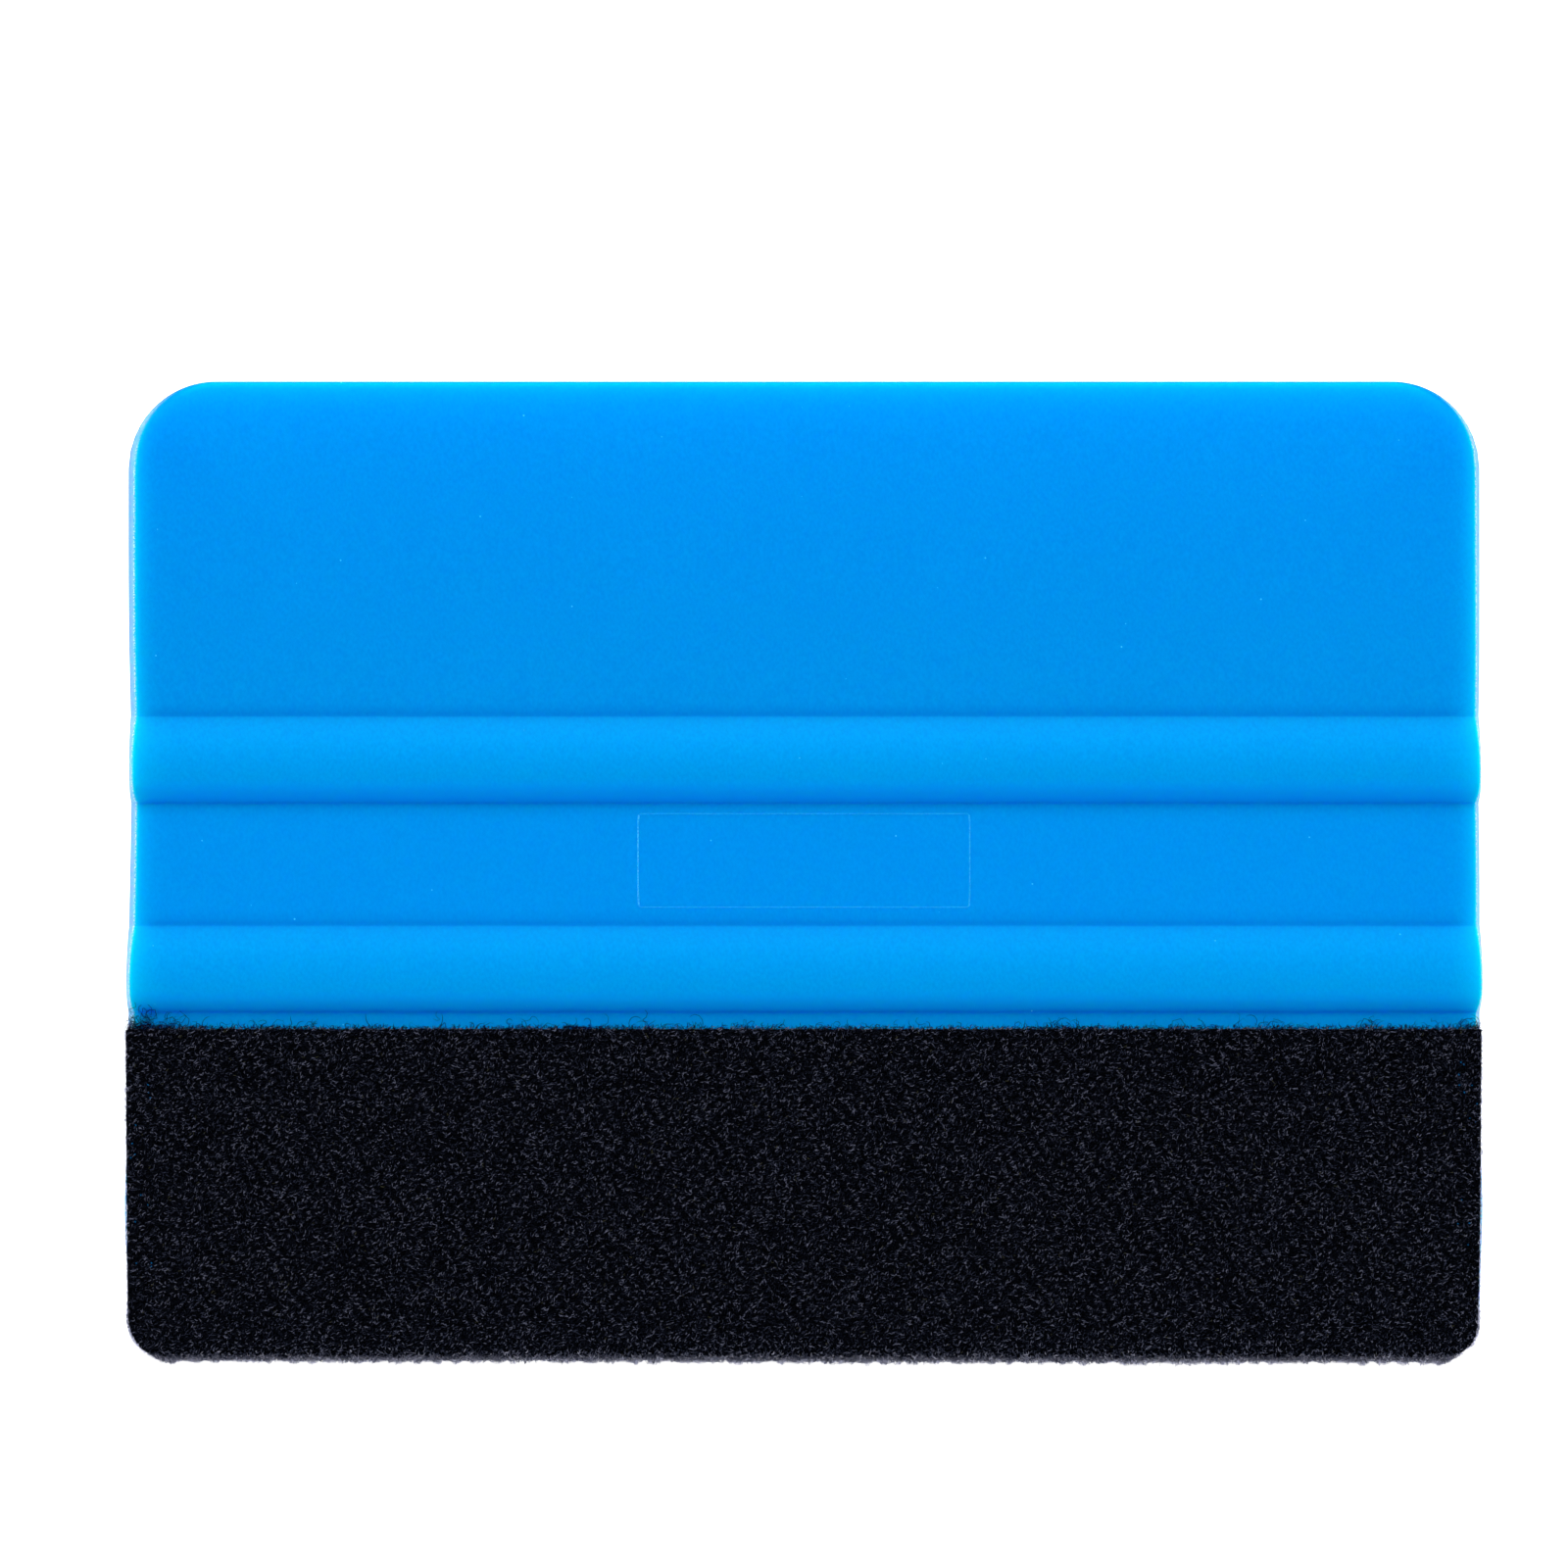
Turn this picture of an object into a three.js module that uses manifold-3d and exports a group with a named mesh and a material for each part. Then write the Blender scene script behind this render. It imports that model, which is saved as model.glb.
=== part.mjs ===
// Felt-edge squeegee card for laying vinyl film. A moulded blade carries two grip ridges
// on each face, and a strip of napped felt is folded over its working edge and glued on.
//
// Millimetres. +X runs along the working edge, +Y from the felt's fold to the thumb edge,
// and +Z out of the front face. The card lies on the ridges of its back face, at Z = 0.

import * as THREE from 'three';
import { mergeVertices } from 'three/addons/utils/BufferGeometryUtils.js';
import Module from 'manifold-3d';

const wasm = await Module();
wasm.setup();

// Overall size
const WIDTH = 100; // along the working edge
const LENGTH = 72.7; // from the felt's fold to the thumb edge

// Layers over the working edge
const FELT_THICKNESS = 0.85;
const FILM_THICKNESS = 0.15;
const BOND_GAP = 0.02; // clearance kept between bonded faces
const FELT_REACH = 24.8; // from the fold to the felt's cut edge, on both faces
const FELT_WIDTH = 99.8;
const FILM_INSET = 0.3; // the film stops this short of the felt's cut edges

// Blade section: lengths from the fold, and half-thicknesses from the middle plane
const BLADE_LOW = FELT_THICKNESS + FILM_THICKNESS + 2 * BOND_GAP;
const EDGE_RADIUS = 0.6; // round nose of the working edge
const BAND_HALF = 1.15; // flat band between the ridges
const RIDGE_PROUD = 1.05; // a ridge's crest above the band
const RIDGE_WIDTH = 6.4;
const CREST_FLAT = 1; // level strip along a ridge's crest
const CREST_SKEW = 1; // the crest lies this far from the ridge's middle, towards the felt
const THUMB_RIDGE = 44.65; // middle of the ridge on the thumb side
const FELT_RIDGE = 29.2; // middle of the ridge on the felt side
const SIDE_ROUND = 0.5; // rounding of the two short sides

// Blade outline
const THUMB_CORNER = 6.5; // corner radius at the thumb edge
const WORKING_CORNER = 2.4; // corner radius under the felt

// Felt corners: one round, and one trimmed off at a slant
const FELT_CORNER = 3.4;
const TRIM_UP = 2.7;
const TRIM_ALONG = 3.1;

// Witness frame: the fine raised rectangle on the front of the band
const FRAME_WIDTH = 24.5;
const FRAME_HEIGHT = 6.9;
const FRAME_CENTRE = 37.2; // from the fold
const FRAME_LINE = 0.12;
const FRAME_PROUD = 0.05;
const FRAME_ROOT = 0.1; // depth of its foot in the blade

const ARC_STEPS = 5;
const SIDE_STEPS = 3;
const CREST_HALF = BAND_HALF + RIDGE_PROUD;

const plastic = new THREE.MeshStandardMaterial({ color: 0x0091ee, roughness: 0.42, metalness: 0 });
const glue = new THREE.MeshStandardMaterial({ color: 0xd8d6c8, roughness: 0.3, metalness: 0 });
const nap = new THREE.MeshStandardMaterial({ color: 0x0d0f1a, roughness: 0.95, metalness: 0 });

// A closed solid from a three.js geometry.
function solid(geometry) {
  geometry.deleteAttribute('normal');
  geometry.deleteAttribute('uv');
  const merged = mergeVertices(geometry, 1e-5);
  const mesh = new wasm.Mesh({
    numProp: 3,
    vertProperties: merged.attributes.position.array,
    triVerts: merged.index.array,
  });
  return new wasm.Manifold(mesh);
}

// A named mesh from a finished solid.
function piece(name, body, material) {
  const { vertProperties, triVerts } = body.getMesh();
  const geometry = new THREE.BufferGeometry();
  geometry.setAttribute('position', new THREE.BufferAttribute(vertProperties, 3));
  geometry.setIndex(new THREE.BufferAttribute(triVerts, 1));
  geometry.computeVertexNormals();
  const mesh = new THREE.Mesh(geometry, material);
  mesh.name = name;
  return mesh;
}

// A section drawn in the YZ plane, run along X and centred, with its ends rounded over.
function runAlongX(section, length, round = 0) {
  const geometry = new THREE.ExtrudeGeometry(section, {
    depth: length - 2 * round,
    curveSegments: ARC_STEPS,
    bevelEnabled: round > 0,
    bevelThickness: round,
    bevelSize: round,
    bevelOffset: -round,
    bevelSegments: SIDE_STEPS,
  });
  geometry.translate(0, 0, round - length / 2);
  const toYZ = new THREE.Matrix4().makeBasis(
    new THREE.Vector3(0, 1, 0),
    new THREE.Vector3(0, 0, 1),
    new THREE.Vector3(1, 0, 0),
  );
  return solid(geometry.applyMatrix4(toYZ));
}

// An outline drawn in the XY plane, raised from one height to another.
function raise(outline, low, high) {
  const geometry = new THREE.ExtrudeGeometry(outline, {
    depth: high - low,
    curveSegments: ARC_STEPS,
    bevelEnabled: false,
  });
  return solid(geometry.translate(0, 0, low));
}

// Lean of the straight flank from a ridge's foot to a round nose.
function flankLean(noseCentre, ridgeFoot) {
  const run = Math.abs(ridgeFoot - noseCentre);
  return Math.atan2(BAND_HALF, run) - Math.asin(EDGE_RADIUS / Math.hypot(run, BAND_HALF));
}

// The section is drawn past the thumb edge, where the outline then cuts it square.
const WORKING_CENTRE = BLADE_LOW + EDGE_RADIUS;
const THUMB_CENTRE = LENGTH + EDGE_RADIUS;
const WORKING_LEAN = flankLean(WORKING_CENTRE, FELT_RIDGE - RIDGE_WIDTH / 2);
const THUMB_LEAN = flankLean(THUMB_CENTRE, THUMB_RIDGE + RIDGE_WIDTH / 2);

// One flank of a ridge: an arc that runs into the level crest.
function ridgeFlank(run) {
  const radius = (run ** 2 + RIDGE_PROUD ** 2) / (2 * RIDGE_PROUD);
  return { radius, sweep: Math.asin(run / radius) };
}

const THUMB_FLANK = ridgeFlank((RIDGE_WIDTH - CREST_FLAT) / 2 + CREST_SKEW);
const FELT_FLANK = ridgeFlank((RIDGE_WIDTH - CREST_FLAT) / 2 - CREST_SKEW);

// One ridge: an arc up, a level crest and an arc down. On the front face it is drawn
// towards +Y, and on the back face towards -Y.
function addRidge(section, centre, side) {
  const [up, down] = side > 0 ? [FELT_FLANK, THUMB_FLANK] : [THUMB_FLANK, FELT_FLANK];
  const crest = centre - CREST_SKEW;
  const half = (side * CREST_FLAT) / 2;
  const top = side * (Math.PI / 2);
  const middle = (flank) => side * (CREST_HALF - flank.radius);
  section.absarc(crest - half, middle(up), up.radius, top + up.sweep, top, true);
  section.absarc(crest + half, middle(down), down.radius, top, top - down.sweep, true);
}

// The blade's section, once round: working edge, front face, thumb end, back face.
function bladeSection() {
  const section = new THREE.Shape();
  const working = Math.PI / 2 + WORKING_LEAN;
  const thumb = Math.PI / 2 - THUMB_LEAN;
  section.absarc(WORKING_CENTRE, 0, EDGE_RADIUS, -working, working, true);
  addRidge(section, FELT_RIDGE, 1);
  addRidge(section, THUMB_RIDGE, 1);
  section.absarc(THUMB_CENTRE, 0, EDGE_RADIUS, thumb, -thumb, true);
  addRidge(section, THUMB_RIDGE, -1);
  addRidge(section, FELT_RIDGE, -1);
  section.closePath();
  return section;
}

// A layer folded over the working edge, between two distances from the blade's surface.
function foldedSection(inner, outer, reach) {
  const turn = Math.PI / 2 + WORKING_LEAN;
  const section = new THREE.Shape();
  const halfAt = (offset) => (EDGE_RADIUS + offset) / Math.cos(WORKING_LEAN)
    + (reach - WORKING_CENTRE) * Math.tan(WORKING_LEAN);
  section.moveTo(reach, -halfAt(outer));
  section.absarc(WORKING_CENTRE, 0, EDGE_RADIUS + outer, -turn, turn, true);
  section.lineTo(reach, halfAt(outer));
  section.lineTo(reach, halfAt(inner));
  section.absarc(WORKING_CENTRE, 0, EDGE_RADIUS + inner, turn, -turn, false);
  section.lineTo(reach, -halfAt(inner));
  section.closePath();
  return section;
}

// A card outline with round corners: one radius at the low edge, one at the high edge.
function cardOutline(width, low, high, lowCorner, highCorner) {
  const side = width / 2;
  const outline = new THREE.Shape();
  outline.absarc(side - lowCorner, low + lowCorner, lowCorner, -Math.PI / 2, 0, false);
  outline.absarc(side - highCorner, high - highCorner, highCorner, 0, Math.PI / 2, false);
  outline.absarc(highCorner - side, high - highCorner, highCorner, Math.PI / 2, Math.PI, false);
  outline.absarc(lowCorner - side, low + lowCorner, lowCorner, Math.PI, Math.PI * 1.5, false);
  outline.closePath();
  return outline;
}

// The felt as cut: a round corner on the left, a slanting trim on the right.
function feltOutline() {
  const side = FELT_WIDTH / 2;
  const outline = new THREE.Shape();
  outline.moveTo(side, FELT_REACH);
  outline.lineTo(-side, FELT_REACH);
  outline.absarc(FELT_CORNER - side, FELT_CORNER, FELT_CORNER, Math.PI, Math.PI * 1.5, false);
  outline.lineTo(side - TRIM_ALONG, 0);
  outline.bezierCurveTo(
    side - TRIM_ALONG / 2, TRIM_UP / 5,
    side, TRIM_UP / 2,
    side, TRIM_UP,
  );
  outline.closePath();
  return outline;
}

// The raised rectangle moulded on the band.
function witnessFrame() {
  const rectangle = (Path, width, height) => {
    const path = new Path();
    path.moveTo(-width / 2, FRAME_CENTRE - height / 2);
    path.lineTo(width / 2, FRAME_CENTRE - height / 2);
    path.lineTo(width / 2, FRAME_CENTRE + height / 2);
    path.lineTo(-width / 2, FRAME_CENTRE + height / 2);
    path.closePath();
    return path;
  };
  const outline = rectangle(THREE.Shape, FRAME_WIDTH, FRAME_HEIGHT);
  outline.holes.push(
    rectangle(THREE.Path, FRAME_WIDTH - 2 * FRAME_LINE, FRAME_HEIGHT - 2 * FRAME_LINE),
  );
  return raise(outline, BAND_HALF - FRAME_ROOT, BAND_HALF + FRAME_PROUD);
}

function blade() {
  const outline = cardOutline(WIDTH, BLADE_LOW, LENGTH, WORKING_CORNER, THUMB_CORNER);
  const body = runAlongX(bladeSection(), WIDTH, SIDE_ROUND)
    .intersect(raise(outline, -CREST_HALF, CREST_HALF));
  return piece('blade', body.add(witnessFrame()), plastic);
}

function adhesiveFilm() {
  const inner = BOND_GAP;
  const outer = inner + FILM_THICKNESS;
  const reach = FELT_REACH - FILM_INSET;
  const width = FELT_WIDTH - 2 * FILM_INSET;
  const outline = cardOutline(width, BLADE_LOW - outer, LENGTH, WORKING_CORNER, WORKING_CORNER);
  const body = runAlongX(foldedSection(inner, outer, reach), width)
    .intersect(raise(outline, -CREST_HALF, CREST_HALF));
  return piece('adhesive_film', body, glue);
}

function feltStrip() {
  const inner = FILM_THICKNESS + 2 * BOND_GAP;
  const body = runAlongX(foldedSection(inner, inner + FELT_THICKNESS, FELT_REACH), FELT_WIDTH)
    .intersect(raise(feltOutline(), -CREST_HALF, CREST_HALF));
  return piece('felt_strip', body, nap);
}

const squeegee = new THREE.Group();
squeegee.position.set(0, -LENGTH / 2, CREST_HALF);
squeegee.add(blade(), adhesiveFilm(), feltStrip());

export default squeegee;
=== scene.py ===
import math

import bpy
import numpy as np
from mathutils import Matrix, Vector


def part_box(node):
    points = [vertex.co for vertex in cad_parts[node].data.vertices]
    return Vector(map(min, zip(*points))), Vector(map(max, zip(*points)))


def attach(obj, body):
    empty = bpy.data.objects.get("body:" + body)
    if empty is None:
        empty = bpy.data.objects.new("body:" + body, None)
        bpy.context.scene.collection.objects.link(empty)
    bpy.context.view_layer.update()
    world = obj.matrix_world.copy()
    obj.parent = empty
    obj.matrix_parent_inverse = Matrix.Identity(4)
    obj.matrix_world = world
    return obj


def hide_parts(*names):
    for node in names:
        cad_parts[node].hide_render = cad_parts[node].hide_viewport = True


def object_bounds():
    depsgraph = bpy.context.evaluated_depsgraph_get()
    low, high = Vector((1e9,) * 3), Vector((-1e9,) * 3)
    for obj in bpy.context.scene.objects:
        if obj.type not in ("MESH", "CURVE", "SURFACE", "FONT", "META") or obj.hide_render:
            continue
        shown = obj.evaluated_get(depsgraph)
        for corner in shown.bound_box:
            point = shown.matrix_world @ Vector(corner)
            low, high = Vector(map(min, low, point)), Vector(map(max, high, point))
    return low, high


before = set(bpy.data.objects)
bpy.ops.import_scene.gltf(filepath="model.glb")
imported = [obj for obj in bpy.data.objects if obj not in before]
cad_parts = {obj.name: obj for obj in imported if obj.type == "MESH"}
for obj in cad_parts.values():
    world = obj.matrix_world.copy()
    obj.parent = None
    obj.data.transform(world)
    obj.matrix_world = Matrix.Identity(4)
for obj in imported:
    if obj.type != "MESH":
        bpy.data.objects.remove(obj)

# A felt-edge squeegee card: a moulded blue blade with two grip ridges on each face, and
# a strip of black napped felt folded over its working edge. Metres, in the CAD frame:
# +X along the working edge, +Y towards the thumb edge, +Z out of the front face.

cad_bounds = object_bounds()
MM = 0.001

# Places that the frame gives
blade_low, blade_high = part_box("blade")
felt_low, felt_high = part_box("felt_strip")
FOLD_Y = felt_low.y  # lengths along the card are counted from the felt's fold
LENGTH = blade_high.y - FOLD_Y
BLADE_START = blade_low.y - FOLD_Y
HALF_WIDTH = blade_high.x
MIDDLE_Z = (blade_low.z + blade_high.z) / 2
CREST_HALF = (blade_high.z - blade_low.z) / 2
FELT_REACH = felt_high.y - FOLD_Y
FELT_HALF_WIDTH = felt_high.x

# The blade's section, repeated from the CAD design
EDGE_RADIUS = 0.6 * MM
BAND_HALF = 1.15 * MM
RIDGE_PROUD = CREST_HALF - BAND_HALF
RIDGE_HALF = 3.2 * MM
RIDGE_SKEW = 0.85 * MM  # the crest lies this far from the ridge's middle, towards the felt
RISE_POWER = 2.1
FALL_POWER = 3.0
THUMB_RIDGE = 44.65 * MM
FELT_RIDGE = 29.2 * MM
NOSE_CENTRE = BLADE_START + EDGE_RADIUS
FELT_OUTER_RADIUS = NOSE_CENTRE  # the fold is round about the blade's nose

# The blade's outline and edges
THUMB_CORNER = 6.5 * MM
WORKING_CORNER = 2.4 * MM
BEVEL_THUMB = 0.14 * MM
BEVEL_WORKING = 0.6 * MM
PARTING_SHARE = 0.1  # upright band at the parting line, as a share of the thickness
BEVEL_CRISPNESS = 0.5
BEVEL_BLEND = 0.1
BAND_SINK_REACH = 6 * MM
FLASH_CENTRE = 11.5 * MM  # a little flash that shows beyond the felt's sides
FLASH_REACH = 4.5 * MM


class Side:
    """How one side of the blade came out of the mould."""

    def __init__(self, bevel, swell, sink, sink_reach, band_sink, ridge_swell, flash):
        self.bevel = bevel * MM  # how far the side leans in, from parting line to face
        self.swell = swell * MM
        self.sink = sink * MM  # drawn in about the thick thumb ridge
        self.sink_reach = sink_reach * MM
        self.band_sink = band_sink * MM
        self.ridge_swell = ridge_swell * MM
        self.flash = flash * MM


LEFT = Side(0.66, 0.07, 0.2, 7.5, 0.07, 0.16, 0.28)
RIGHT = Side(0.5, 0.1, 0.11, 5.0, 0.0, 0.2, 0.22)

# How strongly the blade's thin edges glow, and how far in: a glow painted into the colour
SIDE_PAINTED_GLOW = 0.5
SIDE_PAINTED_GLOW_REACH = 0.55 * MM
END_PAINTED_GLOW = 0.42
END_PAINTED_GLOW_REACH = 0.8 * MM
END_PAINTED_HAZE = 0.13
END_PAINTED_HAZE_REACH = 3.5 * MM

# How much deeper the blue is in some places: painted shade in the creases, at the ends' outermost
# line, on the ridges' shaded flanks and on the band
THUMB_CREASE_PAINTED_SHADE = 0.36  # along the feet of the ridges, on their thumb sides
FELT_CREASE_PAINTED_SHADE = 0.06  # and on their felt sides
CREASE_REACH = 0.3 * MM
CREASE_OFFSET = 0.2 * MM
CREASE_FADE = (0.8 * MM, 2.6 * MM)  # the painted crease shade comes in over these distances from the outline
EDGE_PAINTED_SHADE = 0.95  # at the outermost line of the two ends
EDGE_PAINTED_SHADE_REACH = 0.27 * MM
CORNER_PAINTED_SHADE = 6  # how much further in that line goes at the round corners
# the bluer painted shade tint, as on the ridges' flanks that face away from the light:
LOW_PAINTED_SHADE_TINT = 0.15  # from the thumb ridge down
FELT_PAINTED_SHADE_TINT = 0.2  # and from the felt's ridge down
THIN_REACH = 0.45 * MM  # light scatters less far in the plastic this near the outline
OUTER_PAINTED_SHADE_REACH = 0.08 * MM  # the outline's own fine line, painted darker: painted shade
GLINT_RISE = 0.88  # how far up the slanted sides the painted glints are thickest
GLINT_SPREAD = 0.07

# The raised witness rectangle on the band
FRAME_HALF_WIDTH = 12.25 * MM
FRAME_HALF_HEIGHT = 3.45 * MM
FRAME_CENTRE = 37.2 * MM
FRAME_CORNER = 0.3 * MM
FRAME_LINE = 0.045 * MM
FRAME_PROUD = 0.03 * MM
FRAME_LEFT_WEAR = 0.85
FRAME_RIGHT_WEAR = 0.42
FRAME_LEVEL_WEAR = 0.2

# The felt
FELT_THICKNESS = 0.85 * MM
NAP_DEPTH = 0.12 * MM  # the cloth's own surface lies this far under the nap's
FELT_CORNER = 3.6 * MM
TRIM_UP = 2.9 * MM
TRIM_ALONG = 2.65 * MM
SIDE_SHY = 0.06 * MM  # how far the trimmed sides stay inside the strip's full width
LEFT_FOLD_SHY = 0.09 * MM
RIGHT_FOLD_SHY = 0.22 * MM
SHY_REACH = 16 * MM
FRINGE_DEPTH = 0.3 * MM  # how much lower the dark nap lies at the fold's brow
FRINGE_SPREAD = 0.8 * MM
RAGGED = 0.045 * MM  # the cut edges' unevenness
RAGGED_SIZE = 0.6 * MM
WIDE_LUMP = 1.1 * MM
SMALL_LUMP = 0.5 * MM
SLACK = 0.1 * MM  # the fold sits a little tighter towards the left
SLACK_WIDTH = 12 * MM
SLACK_REACH = 3 * MM
SEED = 7


def link_mesh(name, points, triangles, materials, which=None, looks=None):
    """A smooth closed piece. Its looks are numbers kept at each point for the material."""
    mesh = bpy.data.meshes.new(name)
    mesh.vertices.add(len(points))
    mesh.vertices.foreach_set("co", np.ascontiguousarray(points, np.float32).ravel())
    mesh.loops.add(triangles.size)
    mesh.loops.foreach_set("vertex_index", triangles.astype(np.int32).ravel())
    mesh.polygons.add(len(triangles))
    mesh.polygons.foreach_set("loop_start", np.arange(0, triangles.size, 3, dtype=np.int32))
    for material in materials:
        mesh.materials.append(material)
    if which is not None:
        mesh.polygons.foreach_set("material_index", which.astype(np.int32))
    for key, values in (looks or {}).items():
        kept = mesh.attributes.new(key, "FLOAT", "POINT")
        kept.data.foreach_set("value", values.astype(np.float32).ravel())
    mesh.update(calc_edges=True)
    mesh.shade_smooth()
    piece = bpy.data.objects.new(name, mesh)
    bpy.context.scene.collection.objects.link(piece)
    return piece


def grid_triangles(index):
    """Two triangles for each cell of a grid of point numbers, facing the grid's +."""
    a, b, c, d = index[:-1, :-1], index[:-1, 1:], index[1:, 1:], index[1:, :-1]
    return np.concatenate(
        [np.stack([a, b, c], -1).reshape(-1, 3), np.stack([a, c, d], -1).reshape(-1, 3)]
    )


def rim_of(index):
    """The point numbers once round a grid."""
    return np.concatenate(
        [index[0, :-1], index[:-1, -1], index[-1, :0:-1], index[:0:-1, 0]]
    )


def close_shell(front, back):
    """Triangles of a shell: two grids of points facing apart, joined round their rims."""
    rows, columns = front.shape[:2]
    one = np.arange(rows * columns).reshape(rows, columns)
    two = one + one.size
    a, b = rim_of(one), rim_of(two)
    a_next, b_next = np.roll(a, -1), np.roll(b, -1)
    triangles = np.concatenate(
        [
            grid_triangles(one),
            grid_triangles(two)[:, ::-1],
            np.stack([a, b, b_next], -1),
            np.stack([a, b_next, a_next], -1),
        ]
    )
    points = np.concatenate([front.reshape(-1, 3), back.reshape(-1, 3)])
    return points, triangles


class Surface:
    """A material's node tree, with short calls to add and join nodes."""

    def __init__(self, name):
        self.material = bpy.data.materials.new(name)
        self.material.use_nodes = True
        self.tree = self.material.node_tree
        self.shader = self.tree.nodes["Principled BSDF"]
        self.place = self.add("ShaderNodeTexCoord").outputs["Object"]

    def add(self, kind, inputs=None, **settings):
        node = self.tree.nodes.new(kind)
        for key, value in settings.items():
            setattr(node, key, value)
        self.feed(node, inputs or {})
        return node

    def feed(self, node, inputs):
        for key, value in inputs.items():
            if isinstance(value, bpy.types.NodeSocket):
                self.tree.links.new(value, node.inputs[key])
            else:
                node.inputs[key].default_value = value

    def stretched(self, scale, angle=0.0):
        mapping = self.add("ShaderNodeMapping", {"Vector": self.place})
        mapping.inputs["Rotation"].default_value = (0, 0, angle)
        mapping.inputs["Scale"].default_value = scale
        return mapping.outputs["Vector"]

    def noise(self, size, detail=2.0, vector=None):
        """Noise with features of about that size in metres."""
        inputs = {"Vector": vector or self.place, "Scale": 1 / size, "Detail": detail}
        return self.add("ShaderNodeTexNoise", inputs).outputs["Fac"]

    def look(self, name):
        """A number kept at the mesh's points."""
        return self.add("ShaderNodeAttribute", attribute_name=name).outputs["Fac"]

    def math(self, operation, a, b=0.0):
        return self.add("ShaderNodeMath", {0: a, 1: b}, operation=operation).outputs[0]

    def span(self, value, low, high, to_low=0.0, to_high=1.0):
        inputs = {0: value, 1: low, 2: high, 3: to_low, 4: to_high}
        return self.add("ShaderNodeMapRange", inputs).outputs[0]

    def mix(self, factor, a, b):
        inputs = {"Factor": factor, "A": a, "B": b}
        node = self.add("ShaderNodeMix", data_type="RGBA")
        sockets = {s.name: s for s in node.inputs if s.enabled}
        for key, value in inputs.items():
            if isinstance(value, bpy.types.NodeSocket):
                self.tree.links.new(value, sockets[key])
            else:
                sockets[key].default_value = value
        return next(s for s in node.outputs if s.enabled)

    def bump(self, height, distance, strength=1.0):
        inputs = {"Height": height, "Distance": distance, "Strength": strength}
        node = self.add("ShaderNodeBump", inputs)
        self.feed(self.shader, {"Normal": node.outputs["Normal"]})


def colour(red, green, blue):
    return (red, green, blue, 1.0)


BLUE_DEEP = (0.0, 0.274, 0.695)
BLUE_LIGHT = (0.0, 0.319, 0.735)
# lighter blues painted on the ridges: painted light for their brighter raised crests
RIDGE_PAINTED_LIGHT_DEEP = (0.0, 0.312, 0.75)
RIDGE_PAINTED_LIGHT_PALE = (0.0, 0.36, 0.8)
# bluer colour painted on the ridges' shaded far flanks, the band and under the felt's edge: painted
# shade
PAINTED_SHADE_TINT_BLUE = (0.0, 0.39, 1.0)
# paler blue painted where the thin edges glow: painted light
PAINTED_GLOW_BLUE = (0.0, 0.8, 0.93)
# dark blue painted where shade falls: in the creases at the ridges' feet and at the ends' outermost
# line
PAINTED_SHADE_DARK_BLUE = (0.0, 0.1, 0.55)
# pale blue painted on the slanted sides: a painted reflection of the bright surroundings
PAINTED_REFLECTION_BLUE = (0.25, 0.53, 0.88)
# darker blue painted at the outermost edge: painted shade against light coming through the thin
# plastic
PAINTED_OUTER_SHADE_BLUE = (0.13, 0.32, 0.74)
PALE_LINE = (0.08, 0.62, 0.95)
# near-white painted glints where the burrs on the slanted sides catch the light
PAINTED_GLINT = (0.75, 0.92, 1.0)


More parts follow.
